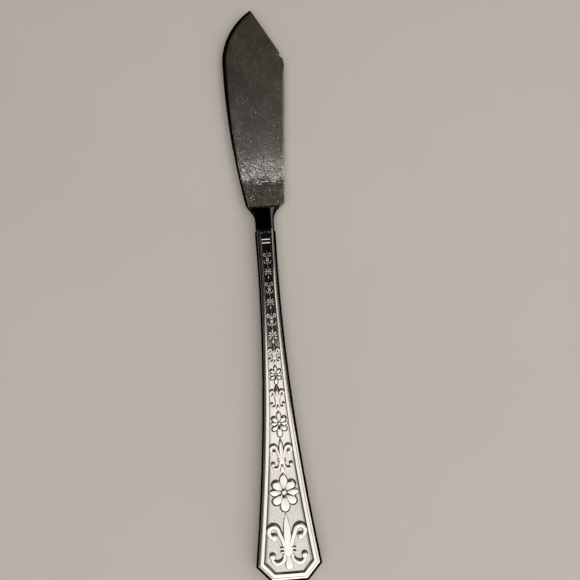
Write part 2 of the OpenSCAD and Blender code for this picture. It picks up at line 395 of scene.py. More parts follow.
def outline(inset, top_y, end_lift=0.0):
    """The handle's outline moved inward, from the left of the mouth round the end to the right.

    The shoulder, where the cut corner meets the side, is found by closing in on it.
    """
    corner = Vector((END_WIDTH / 2 - inset * math.tan(CORNER_ANGLE / 2), END_Y + inset + end_lift))
    shoulder_y, rounds = corner.y, 12
    for _ in range(rounds):
        shoulder_y = corner.y + (handle_half(shoulder_y) - inset - corner.x) * math.tan(CORNER_ANGLE)
    shoulder = Vector((handle_half(shoulder_y) - inset, shoulder_y))
    right = [corner.lerp(shoulder, k / CUT_STEPS) for k in range(CUT_STEPS)]
    for k in range(SIDE_STEPS + 1):
        y = shoulder_y + (top_y - shoulder_y) * k / SIDE_STEPS
        right.append(Vector((side_x(inset, y), y)))
    left = [Vector((-point.x, point.y)) for point in reversed(right)]
    return left + right


def rounded(corners, steps=4):
    """Profile through corners of (inset, level, rounding), with each inner corner rounded."""
    points = [Vector(corners[0][:2])]
    for before, corner, after in zip(corners, corners[1:], corners[2:]):
        middle = Vector(corner[:2])
        start = middle + (Vector(before[:2]) - middle).normalized() * corner[2]
        end = middle + (Vector(after[:2]) - middle).normalized() * corner[2]
        for k in range(steps + 1):
            share = k / steps
            points.append(start.lerp(middle, share).lerp(middle.lerp(end, share), share))
    points.append(Vector(corners[-1][:2]))
    return points


def edge_tarnish_and_shade(inset, z):
    """Painted shade on the sloping side, standing in for its dark reflection, and tarnish with painted shade
    in the line beside the border.
    """
    if inset < SIDE_WIDTH and z < SIDE_Z:
        return SIDE_PAINTED_SHADE
    in_line = abs(inset - BORDER_INSET) < LINE_WIDTH and z < BAND_Z + BAND_STEP / 2
    return LINE_TARNISH_AND_SHADE if in_line else 0.0


def wall_share(inset):
    """How far down the panel's wall an inset lies, from 0 at its top to 1 at its foot."""
    return min(max(1 - (PANEL_INSET - inset) / WALL_LEAN, 0.0), 1.0)


def wall_tarnish_and_shade(inset, y):
    """Tarnish and painted shade on the panel's wall: all of it across both ends, and its foot along the
    sides.
    """
    if y < WALL_END_Y or y > WALL_MOUTH_Y:
        return wall_share(inset)
    if wall_share(inset) < 0.5:
        return 0.0
    lighter = smooth_step(WALL_LIGHTER_START, WALL_LIGHTER_END, y) - smooth_step(UPPER_START, UPPER_END, y)
    return WALL_TARNISH_AND_SHADE + (MIDDLE_WALL_TARNISH_AND_SHADE - WALL_TARNISH_AND_SHADE) * lighter


def border_drop(inset, y):
    """How far the raised border has dropped below its crest, at its outer edge most."""
    share = min(max((CREST_INSET - inset) / (CREST_INSET - BORDER_INSET), 0.0), 1.0)
    lean = BORDER_LEAN * (1 - smooth_step(LEVEL_START, LEVEL_END, y))
    return share * lean if inset > BORDER_INSET else 0.0


def handle_moulding():
    """One shell without its ornament: rim, sloping side, band, raised border, panel and hollow inside."""
    outside = rounded([
        (0, RIM_Z, 0),
        (SIDE_WIDTH, SIDE_Z, 0.1 * mm),
        (SIDE_WIDTH + BAND_WIDTH, BAND_Z, 0.04 * mm),
        (BORDER_INSET, BAND_Z, 0.03 * mm),
        (BORDER_INSET + STEP_LEAN, TOP_Z, 0.07 * mm),
        (CREST_INSET, TOP_Z, 0),
    ])
    wall = rounded([
        (CREST_INSET, TOP_Z, 0),
        (PANEL_INSET - WALL_LEAN, TOP_Z, 0.08 * mm),
        (PANEL_INSET, PANEL_Z, 0.06 * mm),
        (PANEL_INSET + WALL_FOOT, PANEL_Z, 0),
    ])
    lean = SIDE_WIDTH * CAVITY_HEIGHT / (SIDE_Z - RIM_Z)
    inside = [Vector((SHELL_WALL + lean, RIM_Z + CAVITY_HEIGHT)), Vector((SHELL_WALL, RIM_Z))]
    joint_y = PANEL_TOP_Y + TOP_WALL_LEAN * (PANEL_INSET - CREST_INSET)
    shape = Shape("patina", "panel")

    rings = []
    for inset, z in inside + outside:
        half = side_x(inset, MOUTH_Y)
        plan = [Vector((-half, MOUTH_Y)), *outline(inset, joint_y), Vector((half, MOUTH_Y))]
        ring = [(x, y, z - border_drop(inset, y)) for x, y in plan]
        rings.append(shape.row(ring, patina=edge_tarnish_and_shade(inset, z)))
    shape.skin(rings, closed=False)
    shape.fill(rings[0])
    shape.faces.append([ring[0] for ring in rings] + [ring[-1] for ring in reversed(rings)])

    border = rings[-1]
    shape.faces.append((border[0], border[1], border[-2], border[-1]))
    near = border[1:-1]
    for inset, z in wall[1:]:
        top_y = PANEL_TOP_Y + TOP_WALL_LEAN * (PANEL_INSET - inset)
        plan = outline(inset, top_y, wall_share(inset) * END_WALL_EXTRA)
        tarnish = [wall_tarnish_and_shade(inset, y) for _, y in plan]
        far = shape.row([(x, y, z) for x, y in plan], patina=tarnish, panel=float(z <= PANEL_Z))
        shape.strip(near, far, closed=True)
        near = far

    rows = []
    for left, right in zip(near[: len(near) // 2], reversed(near)):
        start, end = Vector(shape.points[left]), Vector(shape.points[right])
        inner = [start.lerp(end, k / FLOOR_COLUMNS) for k in range(1, FLOOR_COLUMNS)]
        rows.append([left, *shape.row(inner, panel=1.0), right])
    shape.skin(rows, closed=False)
    return new_object("moulding", shape.mesh("moulding"))


# Ornament

def leaf(name, root, taper, tip, rows=14, columns=12, fullness=2.6, swell=0.6, height=1.0, shadow=0.0):
    """Domed leaf of unit length and half width, with painted shade at its root as the shadow says.

    Root, taper and tip are the powers that shape its outline, and the swell is the power by which
    its height follows its width. The fullness is that of its section: 2 is a half circle.
    """
    def plain_width(share):
        return share ** root * (1 - share ** taper) ** tip

    samples = 200
    widest = max(plain_width(k / samples) for k in range(samples + 1))
    shape = Shape("patina")
    rings = []
    for k in range(rows + 1):
        share = (1 - math.cos(math.pi * k / rows)) / 2
        width = plain_width(share) / widest
        ring = []
        for j in range(columns + 1):
            angle = math.pi * j / columns
            across = math.copysign(abs(math.cos(angle)) ** (2 / fullness), math.cos(angle))
            up = math.sin(angle) ** (2 / fullness) if 0 < j < columns else 0.0
            ring.append((across * width, share, height * up * width ** swell))
        rings.append(shape.row(ring, patina=shadow * (1 - smooth_step(0.05, 0.45, share))))
    shape.skin(rings)
    return new_object(name, shape.mesh(name))


def rib_section(rise, steps, fullness=2.8):
    """Section of a scroll's rib, one unit to each side, drawn downward because the sweep turns it over."""
    data = bpy.data.curves.new("rib_section", "CURVE")
    spline = data.splines.new("POLY")
    spline.points.add(steps)
    for k, point in enumerate(spline.points):
        angle = math.pi * k / steps
        across = math.copysign(abs(math.cos(angle)) ** (2 / fullness), math.cos(angle))
        up = rise * abs(math.sin(angle)) ** (2 / fullness)
        point.co = (across, -up, 0, 1)
    spline.use_cyclic_u = True
    return new_object("rib_section", data)


def finish_tree(tree, geometry, material, result):
    """Ends a geometry tree: real meshes with their material."""
    real = put(tree, "GeometryNodeRealizeInstances", {0: geometry})
    done = put(tree, "GeometryNodeSetMaterial", {"Geometry": real.outputs[0], "Material": material})
    tree.links.new(done.outputs[0], result)


def scatter_tree():
    """Geometry tree that sets one shape on every point, turned and sized by the point's own values."""
    tree, given, result = new_tree(
        "shapes_on_points", "GeometryNodeTree",
        [("Points", "Geometry"), ("Shape", "Object"), ("Material", "Material")], [("Geometry", "Geometry")])
    turn = put(tree, "GeometryNodeInputNamedAttribute", {"Name": "turn"})
    size = put(tree, "GeometryNodeInputNamedAttribute", {"Name": "size"}, data_type="FLOAT_VECTOR")
    shape = put(tree, "GeometryNodeObjectInfo", {"Object": given["Shape"]})
    about = put(tree, "ShaderNodeCombineXYZ", {"Z": turn.outputs[0]})
    rotation = put(tree, "FunctionNodeEulerToRotation", {0: about.outputs[0]})
    points = put(tree, "GeometryNodeMeshToPoints", {"Mesh": given["Points"]})
    placed = put(tree, "GeometryNodeInstanceOnPoints", {
        "Points": points.outputs[0], "Instance": shape.outputs["Geometry"],
        "Rotation": rotation.outputs[0], "Scale": size.outputs[0]})
    finish_tree(tree, placed.outputs[0], given["Material"], result["Geometry"])
    return tree


def rib_tree():
    """Geometry tree that sweeps a section along every path, as thick as the path's points say."""
    tree, given, result = new_tree(
        "ribs_on_paths", "GeometryNodeTree",
        [("Paths", "Geometry"), ("Section", "Object"), ("Material", "Material")], [("Geometry", "Geometry")])
    thick = put(tree, "GeometryNodeInputNamedAttribute", {"Name": "thick"})
    section = put(tree, "GeometryNodeObjectInfo", {"Object": given["Section"]})
    path = put(tree, "GeometryNodeMeshToCurve", {"Mesh": given["Paths"]})
    upright = put(tree, "GeometryNodeSetCurveNormal", {"Curve": path.outputs[0]}, mode="Z_UP")
    swept = put(tree, "GeometryNodeCurveToMesh", {
        "Curve": upright.outputs[0], "Profile Curve": section.outputs["Geometry"],
        "Scale": thick.outputs[0], "Fill Caps": True})
    finish_tree(tree, swept.outputs[0], given["Material"], result["Geometry"])
    return tree


def tarnish_and_shade_tree():
    """Geometry tree that joins a shell, its ornament and the painted shadow films, and paints shade at the
    ornament's foot.
    """
    tree, given, result = new_tree(
        "patina_in_hollows", "GeometryNodeTree",
        [("Moulding", "Geometry"), ("Ornament", "Object"), ("Tarnish", "Object"),
         ("Panel Level", "Float", PANEL_Z), ("Foot Height", "Float", FOOT_HEIGHT), ("Material", "Material")],
        [("Geometry", "Geometry")])
    ornament = put(tree, "GeometryNodeObjectInfo", {"Object": given["Ornament"]}).outputs["Geometry"]
    tarnish = put(tree, "GeometryNodeObjectInfo", {"Object": given["Tarnish"]}).outputs["Geometry"]
    place = put(tree, "GeometryNodeInputPosition").outputs[0]
    level = put(tree, "ShaderNodeSeparateXYZ", {0: place}).outputs["Z"]
    height = put(tree, "ShaderNodeMath", {0: level, 1: given["Panel Level"]}, operation="SUBTRACT")
    # Painted shade at the foot of the raised ornament, darkest where it meets the floor
    foot = put(tree, "ShaderNodeMapRange", {
        "Value": height.outputs[0], "From Max": given["Foot Height"], "To Min": 1.0, "To Max": 0.0})
    shadow = put(tree, "GeometryNodeInputNamedAttribute", {"Name": "patina"})
    rooted = put(tree, "ShaderNodeMath", {0: foot.outputs[0], 1: shadow.outputs[0]}, operation="MAXIMUM")
    raised = put(tree, "GeometryNodeStoreNamedAttribute", {
        "Geometry": ornament, "Name": "patina", "Value": rooted.outputs[0]})
    # The films are painted shadow at full darkness
    film = put(tree, "GeometryNodeStoreNamedAttribute", {
        "Geometry": tarnish, "Name": "patina", "Value": 1.0})
    joined = put(tree, "GeometryNodeJoinGeometry")
    for part in (given["Moulding"], raised.outputs[0], film.outputs[0]):
        tree.links.new(part, joined.inputs[0])
    finish_tree(tree, joined.outputs[0], given["Material"], result["Geometry"])
    return tree


def slimness(y):
    """Share of their width that petals and ribs keep."""
    return 1 - SLIM_SHARE * smooth_step(SLIM_START, SLIM_END, y)


class Ornament:
    """Places of every leaf, boss and bar, and the paths of the scrolls, along one panel."""

    def __init__(self):
        shapes = ("petal", "pointed_petal", "spear", "drop", "boss", "bar", "block")
        self.places = {shape: [] for shape in shapes}
        self.painted_shadows = {shape: [] for shape in shapes}
        self.paths = []
        self.painted_shadow_paths = []

    def add(self, shape, x, y, turn, half_width, length, stain_and_painted_shadow=False):
        """A raised shape, or a thin dark film with the shape's outline: painted shadow on the floor, with
        some tarnish.
        """
        rise = FILM if stain_and_painted_shadow else min(RELIEF, half_width)
        places = self.painted_shadows if stain_and_painted_shadow else self.places
        places[shape].append(((x, y, PANEL_Z), turn, (half_width, length, rise)))

    def boss(self, x, y, radius, stain_and_painted_shadow=False):
        self.add("boss", x, y - radius, 0.0, radius, 2 * radius, stain_and_painted_shadow)

    def bar(self, y, half_width, thickness, stain_and_painted_shadow=False):
        self.add("bar", half_width, y, math.pi / 2, thickness / 2, 2 * half_width, stain_and_painted_shadow)

    def daisy(self, y, half_width, half_length):
        """Petals round a boss, each with a painted shadow film that shows beside and beyond it."""
        root = 0.18 * half_width
        margin = 0.13 * mm + 0.012 * half_width
        slim = slimness(y)
        for k in range(PETALS):
            shape, width, share, beside, beyond = PETAL_FORMS[min(k, PETALS - k)]
            turn = 2 * math.pi * k / PETALS
            reach = 1 / math.hypot(math.sin(turn) / half_width, math.cos(turn) / half_length)
            foot_x, foot_y = -root * math.sin(turn), y + root * math.cos(turn)
            half, length = slim * width * half_width, share * reach - root
            self.add(shape, foot_x, foot_y, turn, half, length)
            half, length = half + beside * margin, length + beyond * margin
            self.add(shape, foot_x, foot_y, turn, half, length, stain_and_painted_shadow=True)
        self.boss(0, y, 0.18 * half_width)
        self.boss(0, y, 0.24 * half_width, stain_and_painted_shadow=True)

    def scroll(self, foot, lift, coil, radii, sweep, rib, side, rise):
        """Rib that leaves the foot along the lift and hooks round the coil's centre through the sweep."""
        join, end = (math.radians(angle) for angle in sweep)
        curl = []
        for k in range(CURL_STEPS + 1):
            angle = join + (end - join) * k / CURL_STEPS
            shrink = 1 - 0.3 * smooth_step(0.45, 1.0, k / CURL_STEPS)
            curl.append(Vector((
                coil[0] + radii[0] * shrink * math.cos(angle),
                coil[1] + radii[1] * shrink * math.sin(angle))))
        start, ahead = Vector(foot), Vector(foot) + Vector(lift)
        pull = Vector((math.sin(join) * radii[0], -math.cos(join) * radii[1])) * 0.5
        stem = []
        for k in range(STEM_STEPS):
            share = k / STEM_STEPS
            first = start.lerp(ahead, share)
            second = ahead.lerp(curl[0] - pull, share)
            third = (curl[0] - pull).lerp(curl[0], share)
            stem.append(first.lerp(second, share).lerp(second.lerp(third, share), share))
        path = [Vector((side * point.x, rise * point.y)) for point in stem + curl]
        thick = [rib * (1 - 0.3 * smooth_step(0.6, 1.0, k / len(path))) for k in range(len(path))]
        return path, thick

    def lily(self, y, half_width, length):
        """A spear and a drop joined by a block at the waist, with two scrolls above and two below."""
        waist = y + 0.33 * length
        slim = slimness(y)
        full = smooth_step(FULL_START, FULL_END, y)
        rib = (0.105 * half_width + 0.16 * mm) * slim
        body = 0.21 * half_width * (1 + 0.3 * full) * slim
        lee = 0.3 * mm + 0.04 * half_width
        upper = {
            "foot": (0.17 * half_width, 0.06 * length), "lift": (0.03 * half_width, 0.1 * length),
            "coil": (0.68 * half_width, 0.305 * length), "radii": (0.27 * half_width, 0.115 * length),
            "sweep": (165, -90)}
        lower = {
            "foot": (0.2 * half_width, 0.08 * length), "lift": (0.01 * half_width, 0.03 * length),
            "coil": (0.57 * half_width, 0.13 * length), "radii": (0.36 * half_width, 0.11 * length),
            "sweep": (160, -8)}
        for sizes, rise, share in ((upper, 1, 1.0), (lower, -1, 0.8)):
            for side in (-1, 1):
                path, thick = self.scroll(**sizes, rib=share * rib, side=side, rise=rise)
                self.paths.append(([point + Vector((0, waist)) for point in path], thick))
                # The films of scrolls and balls sit a lee forward of them: painted shadow on their forward
                # side
                self.painted_shadow_paths.append(([point + Vector((0, waist + lee)) for point in path], thick))
                ball_y = waist + path[-1].y
                self.boss(path[-1].x, ball_y, 1.2 * rib)
                self.boss(path[-1].x, ball_y + lee, 1.25 * rib, stain_and_painted_shadow=True)
        spear_y, spear_length = waist - 0.12 * length, 0.8 * length
        self.add("spear", 0, spear_y, 0.0, body, spear_length)
        self.add("drop", 0, waist, math.pi, body, 0.36 * length)
        self.add("block", 0, waist - 0.11 * length, 0.0, 1.2 * body, (0.2 + 0.06 * full) * length)
        if full > 0:
            edge = SPEAR_SHADOW * full
            self.add("spear", 0, spear_y, 0.0, body + edge, spear_length + edge, stain_and_painted_shadow=True)
        for k in (-1, 1):
            bar_y = waist - (0.01 + 0.035 * k) * length
            self.bar(bar_y, 0.38 * half_width, 0.045 * length)
            self.bar(bar_y + 0.6 * lee, 0.42 * half_width, 0.05 * length, stain_and_painted_shadow=True)

    def row(self):
        """Lilies and daisies in turn, longer where the handle is wider, up to the two cross bars."""
        bars_y = MOUTH_Y - BAR_SETBACK - BAR_PITCH - BAR_THICKNESS
        y, lily_turn = ROW_START, True
        while y < bars_y:
            gain = LILY_GAIN if lily_turn else DAISY_GAIN
            length = gain * (handle_half(y) - MOTIF_INSET) + MOTIF_BASE
            if y + length > bars_y:
                break
            if lily_turn:
                self.lily(y, panel_half(y + 0.75 * length) - MOTIF_MARGIN, length)
            else:
                middle = y + length / 2
                self.daisy(middle, panel_half(middle) - MOTIF_MARGIN, length / 2)
            y, lily_turn = y + length, not lily_turn
        for k in (0, 1):
            bar_y = MOUTH_Y - BAR_SETBACK - BAR_THICKNESS / 2 - k * BAR_PITCH
            self.bar(bar_y, panel_half(bar_y), BAR_THICKNESS)


def points_object(name, places):
    """Loose points that carry the turn and the size of what is set on them."""
    mesh = bpy.data.meshes.new(name)
    mesh.from_pydata([place for place, _, _ in places], [], [])
    mesh.attributes.new("turn", "FLOAT", "POINT").data.foreach_set("value", [turn for _, turn, _ in places])
    sizes = [number for _, _, size in places for number in size]
    mesh.attributes.new("size", "FLOAT_VECTOR", "POINT").data.foreach_set("vector", sizes)
    return new_object(name, mesh)


def paths_object(name, paths, rise):
    """Paths that carry their ribs' thickness, sunk where a rib would stand higher than the relief."""
    points, edges, thick = [], [], []
    for path, sizes in paths:
        first = len(points)
        sunk = [max(rise * size - RELIEF, 0.0) for size in sizes]
        points += [(point.x, point.y, PANEL_Z - depth) for point, depth in zip(path, sunk)]
        edges += [(first + k, first + k + 1) for k in range(len(path) - 1)]
        thick += sizes
    mesh = bpy.data.meshes.new(name)
    mesh.from_pydata(points, edges, [])
    mesh.attributes.new("thick", "FLOAT", "POINT").data.foreach_set("value", thick)
    return new_object(name, mesh)


def join(name, objects):
    """Joins plain meshes into one object and clears the old ones away."""
    work = bmesh.new()
    for obj in objects:
        work.from_mesh(obj.data)
        bpy.data.objects.remove(obj)
    mesh = bpy.data.meshes.new(name)
    work.to_mesh(mesh)
    work.free()
    return new_object(name, mesh)


def handle_ornament(material):
    """Raised flowers, lilies and bars of a panel as one mesh, and the painted shadow films beside them as
    another.
    """
    shapes = {
        "petal": leaf("petal", 0.6, 2.2, 0.5, shadow=0.3),
        "pointed_petal": leaf("pointed_petal", 0.6, 2.6, 1.0, swell=0.25, shadow=0.3),
        "spear": leaf("spear", 0.5, 2.4, 1.0),
        "drop": leaf("drop", 1.0, 7.0, 0.9),
        "boss": leaf("boss", 0.5, 1.0, 0.5, rows=12),
        "bar": leaf("bar", 0.14, 1.0, 0.14, rows=10),
        "block": leaf("block", 0.2, 1.0, 0.2, rows=12, fullness=3.5, height=0.85),
    }
    ornament = Ornament()
    ornament.row()
    scatter, sweep = scatter_tree(), rib_tree()
    layers = []
    for name, places, paths, rise, steps in (
        ("ornament", ornament.places, ornament.paths, RIB_RISE, RIB_STEPS),
        ("tarnish", ornament.painted_shadows, ornament.painted_shadow_paths, FILM_RISE, FILM_STEPS),
    ):
        made = []
        for shape, spots in places.items():
            points = points_object(f"{name}_{shape}", spots)
            made.append(run_tree(points, scatter, shape=shapes[shape], material=material))
        section = rib_section(rise, steps)
        scrolls = paths_object(f"{name}_scrolls", paths, rise)
        made.append(run_tree(scrolls, sweep, section=section, material=material))
        bpy.data.objects.remove(section)
        layers.append(join(name, made))
    for helper in shapes.values():
        bpy.data.objects.remove(helper)
    return layers


def handle_shells(material):
    """The front shell, and the back one as its mirror image in the seam's plane."""
    moulding = handle_moulding()
    ornament, tarnish = handle_ornament(material)
    for layer in (moulding, ornament, tarnish):
        tidy(layer.data)
    front = run_tree(
        moulding, tarnish_and_shade_tree(), ornament=ornament, tarnish=tarnish,
        panel_level=PANEL_Z, foot_height=FOOT_HEIGHT, material=material)
    bpy.data.objects.remove(ornament)
    bpy.data.objects.remove(tarnish)
    front.name = "handle_front"
    shade(front.data, HANDLE_SHARP)
    back = new_object("handle_back", front.data.copy())
    back.data.transform(Matrix.Translation((0, 0, 2 * SEAM_Z)) @ Matrix.Diagonal((1, 1, -1, 1)))
    back.data.flip_normals()
    return front, back


# Blade's plan

def touch_angle(point, turn):
    """Angle on the spine's corner disc at which a line from the point touches it."""
    away = point - Vector((CORNER_X, CORNER_Y))
    return math.atan2(away.y, away.x) + turn * math.acos(CORNER_RADIUS / away.length)


HEEL = Vector((HEEL_X, FLARE_Y))
TIP = Vector((TIP_X, TIP_Y))
SPINE_ANGLE = touch_angle(HEEL, 1)
CLIP_ANGLE = touch_angle(TIP, -1)


def on_corner(angle, radius=CORNER_RADIUS):
    return Vector((CORNER_X + radius * math.cos(angle), CORNER_Y + radius * math.sin(angle)))


NOTCH = on_corner(CLIP_ANGLE - NOTCH_LEAD, CORNER_RADIUS + NOTCH_RADIUS - NOTCH_DEPTH)


def hollow_x(y):
    """Half width of the neck and of the hollow curve up to the heel."""
    run = min(max(y - FLARE_Y, 0.0), HEEL_RADIUS)
    return NECK_HALF + HEEL_RADIUS - math.sqrt(HEEL_RADIUS ** 2 - run ** 2)


def soft_least(a, b, blend):
    """The smaller of two numbers, rounded off where they cross."""
    share = max(blend - abs(a - b), 0.0) / blend
    return min(a, b) - share * share * blend / 4


def belly_distance(x, y):
    """Distance inward from the belly's edge: one arc to the widest place and another to the tip."""
    radius = BELLY_RADIUS if y < WIDE_Y else TIP_RADIUS
    return radius - math.hypot(x - (radius - HALF_BLADE), y - WIDE_Y)


def belly_x(y):
    radius = BELLY_RADIUS if y < WIDE_Y else TIP_RADIUS
    edge = radius - HALF_BLADE - math.sqrt(max(radius ** 2 - (y - WIDE_Y) ** 2, 0.0))
    if y > FLARE_Y + HEEL_RADIUS:
        return edge
    return -soft_least(-edge, hollow_x(y), HEEL_BLEND)


def spine_x(y):
    start, end = on_corner(SPINE_ANGLE), on_corner(CLIP_ANGLE)
    if y < start.y:
        edge = HEEL.x + (start.x - HEEL.x) * (y - HEEL.y) / (start.y - HEEL.y)
    elif y < end.y:
        edge = CORNER_X + math.sqrt(CORNER_RADIUS ** 2 - (y - CORNER_Y) ** 2)
    else:
        edge = end.x + (TIP.x - end.x) * (y - end.y) / (TIP.y - end.y)
    if abs(y - NOTCH.y) < NOTCH_RADIUS:
        edge = min(edge, NOTCH.x - math.sqrt(NOTCH_RADIUS ** 2 - (y - NOTCH.y) ** 2))
    if y > FLARE_Y + HEEL_RADIUS:
        return edge
    return soft_least(edge, hollow_x(y), HEEL_BLEND)


# Blade's section

def chamfer_drop(distance, y):
    """How far the face has dropped at a distance from the spine, which is bevelled from heel to corner."""
    start = smooth_step(*CHAMFER_SPAN, y - LEDGE_Y)
    end = 1 - smooth_step(*CORNER_SPAN, y - on_corner(SPINE_ANGLE).y)
    return start * end * SPINE_DROP * max(1 - distance / SPINE_CHAMFER, 0.0)


def ground_width(y):
    share = smooth_step(LEDGE_Y, WIDE_Y, y)
    return HEEL_GROUND_WIDTH + (GROUND_WIDTH - HEEL_GROUND_WIDTH) * share


def blade_height(x, y, spine_distance):
    """Half the blade's thickness: a wedge from spine to belly, ground down to the edge."""
    share = (x + HALF_BLADE) / (2 * HALF_BLADE)
    wedge = BELLY_HALF + (SPINE_HALF - BELLY_HALF) * share
    ground = EDGE_HALF + (BELLY_HALF - EDGE_HALF) * max(belly_distance(x, y), 0.0) / ground_width(y)
    return min(wedge, ground) - chamfer_drop(spine_distance, y)


def neck_height(x, y, side_distance):
    """Half the neck's thickness: crowned, with leaning sides, and sloping down at the ledge."""
    crown = math.sqrt(max(CROWN_RADIUS ** 2 - x ** 2, 0.0)) - (CROWN_RADIUS - NECK_TOP)
    lean = side_distance * NECK_TOP / NECK_SIDE
    end_y = LEDGE_Y - LEDGE_WAVE * (1 + math.sin(SHORT_RIPPLE * x) * math.cos(LONG_RIPPLE * x))
    ledge = NECK_TOP - (NECK_TOP - BELLY_HALF) * smooth_step(end_y - LEDGE_LENGTH, end_y, y)
    return soft_least(soft_least(crown, lean, NECK_BLEND), ledge, LEDGE_BLEND)


def stations(spans):
    """Places along the blade, each span being (from, to, step)."""
    places = []
    for start, end, step in spans:
        count = max(round((end - start) / step), 1)
        places += [start + (end - start) * k / count for k in range(count)]
    return places + [spans[-1][1]]


def blade_rows():
    """Places along the blade, closest together round the notch."""
    corner_y = on_corner(CLIP_ANGLE).y
    return stations([
        (NECK_Y, FLARE_Y, PLAIN_STEP),
        (FLARE_Y, FLARE_Y + HEEL_RADIUS, HEEL_STEP),
        (FLARE_Y + HEEL_RADIUS, NOTCH.y - 2 * NOTCH_RADIUS, PLAIN_STEP),
        (NOTCH.y - 2 * NOTCH_RADIUS, corner_y + NOTCH_RADIUS, NOTCH_STEP),
        (corner_y + NOTCH_RADIUS, TIP_Y - POINT_LENGTH, CLIP_STEP),
        (TIP_Y - POINT_LENGTH, TIP_Y - POINT_CUT, POINT_STEP),
    ])


def blade_columns(left, right, edge_width):
    """Places across the blade: close together at both edges, wider apart between."""
    edge_width = min(edge_width, 0.4 * (right - left))
    edge = [edge_width * (k / EDGE_COLUMNS) ** 1.5 for k in range(EDGE_COLUMNS)]
    inner = right - left - 2 * edge_width
    middle = [edge_width + inner * k / MIDDLE_COLUMNS for k in range(MIDDLE_COLUMNS + 1)]
    across = edge + middle + [right - left - offset for offset in reversed(edge)]
    return [left + offset for offset in across]


def blade_mesh():
    """Blade, neck and tang as one forging."""
    shape = Shape("polish", "ground")
    rings = []
    for y in blade_rows():
        left, right = belly_x(y), spine_x(y)
        share = smooth_step(FLARE_Y + 0.7 * HEEL_RADIUS, FLARE_Y + 1.4 * HEEL_RADIUS, y)
        edge_width = NECK_SIDE + (ground_width(y) - NECK_SIDE) * share
        polish = 1 - smooth_step(*POLISH_SPAN, y - LEDGE_Y)
        top = []
        for x in blade_columns(left, right, edge_width):
            side = min(x - left, right - x)
            height = neck_height(x, y, side) if y < LEDGE_Y else 0.0
            if y > FLARE_Y:
                height = max(height, blade_height(x, y, right - x))
            ground = 1 - smooth_step(*GROUND_SPAN, belly_distance(x, y) / ground_width(y))
            top.append((x, max(height, 0.0), ground * (1 - polish)))
        ring = top + [(x, -z, ground) for x, z, ground in reversed(top)]
        points = [(x, y, SEAM_Z + z) for x, z, _ in ring]
        rings.append(shape.row(points, polish=polish, ground=[ground for _, _, ground in ring]))
    shape.skin(rings, capped=True)
    add_tang(shape)
    return shape.mesh("blade_forging")


def add_tang(shape):
    """Bar inside the handle, with its end drawn in."""
    rings = []
    for y, share in ((TANG_Y, TANG_END_SHARE), (TANG_Y + TANG_TAPER, 1.0), (NECK_Y, 1.0)):
        half_width, half_thickness = share * TANG_HALF_WIDTH, share * TANG_HALF_THICKNESS
        rings.append(shape.row([
            (side * half_width, y, SEAM_Z + level * half_thickness)
            for side, level in ((-1, -1), (1, -1), (1, 1), (-1, 1))
        ], polish=TANG_POLISH))
    shape.skin(rings, capped=True)


def forged_blade(material):
    """The blade's finished object."""
    mesh = blade_mesh()
    tidy(mesh)
    shade(mesh, BLADE_SHARP)
    mesh.materials.append(material)
    return new_object("blade_and_neck", mesh)


# Shader groups

def noise_mask_group():
    """Cloudy mask between two thresholds of a noise."""
    tree, given, result = new_tree(
        "clouds", "ShaderNodeTree",
        [("Vector", "Vector"), ("Scale", "Float", 200.0), ("Low", "Float", 0.4), ("High", "Float", 0.65)],
        [("Mask", "Float")])
    noise = put(tree, "ShaderNodeTexNoise", {"Vector": given["Vector"], "Scale": given["Scale"],
                                             "Detail": 5.0, "Roughness": 0.6})
    mask = put(tree, "ShaderNodeMapRange", {
        "Value": noise.outputs[0], "From Min": given["Low"], "From Max": given["High"]},
        interpolation_type="SMOOTHSTEP")
    tree.links.new(mask.outputs[0], result["Mask"])
    return tree


def scratch_group():
    """Thin straight scratches that run one way and break off."""
    tree, given, result = new_tree(
        "scratches", "ShaderNodeTree",
        [("Vector", "Vector"), ("Angle", "Float", 0.0), ("Fineness", "Float", 6000.0),
         ("Length", "Float", 30.0), ("Low", "Float", 0.6), ("High", "Float", 0.68)],
        [("Mask", "Float"), ("Grain", "Float")])
    turned = put(tree, "ShaderNodeVectorRotate", {"Vector": given["Vector"], "Angle": given["Angle"]},
                 rotation_type="Z_AXIS")
    along = put(tree, "ShaderNodeMath", {0: given["Fineness"], 1: given["Length"]}, operation="DIVIDE")
    stretch = put(tree, "ShaderNodeCombineXYZ", {
        "X": given["Fineness"], "Y": along.outputs[0], "Z": given["Fineness"]})
    drawn = put(tree, "ShaderNodeVectorMath", {0: turned.outputs[0], 1: stretch.outputs[0]},
                operation="MULTIPLY")
    grain = put(tree, "ShaderNodeTexNoise", {"Vector": drawn.outputs[0], "Scale": 1.0, "Detail": 3.0})
    mask = put(tree, "ShaderNodeMapRange", {
        "Value": grain.outputs[0], "From Min": given["Low"], "From Max": given["High"]},
        interpolation_type="SMOOTHSTEP")
    tree.links.new(mask.outputs[0], result["Mask"])
    tree.links.new(grain.outputs[0], result["Grain"])
    return tree


CLOUDS = noise_mask_group()
SCRATCHES = scratch_group()


def group_node(tree, group, vector, **values):
    """Places a shader group with its own values."""
    made = put(tree, "ShaderNodeGroup", node_tree=group)
    tree.links.new(vector, made.inputs["Vector"])
    for name, value in values.items():
        made.inputs[name.title()].default_value = value
    return made.outputs


def combine(tree, operation, first, second=0.0):
    """One or two values worked into another."""
    return put(tree, "ShaderNodeMath", {0: first, 1: second}, operation=operation).outputs[0]


def fade(tree, value, low, high, to_low=0.0, to_high=1.0):
    """A smooth change from one level to another while the value goes from low to high."""
    return put(tree, "ShaderNodeMapRange", {
        "Value": value, "From Min": low, "From Max": high, "To Min": to_low, "To Max": to_high},
        interpolation_type="SMOOTHSTEP").outputs[0]


def mix_colour(tree, share, first, second):
    mixed = put(tree, "ShaderNodeMix", {0: share, 6: first, 7: second}, data_type="RGBA")
    return mixed.outputs[2]


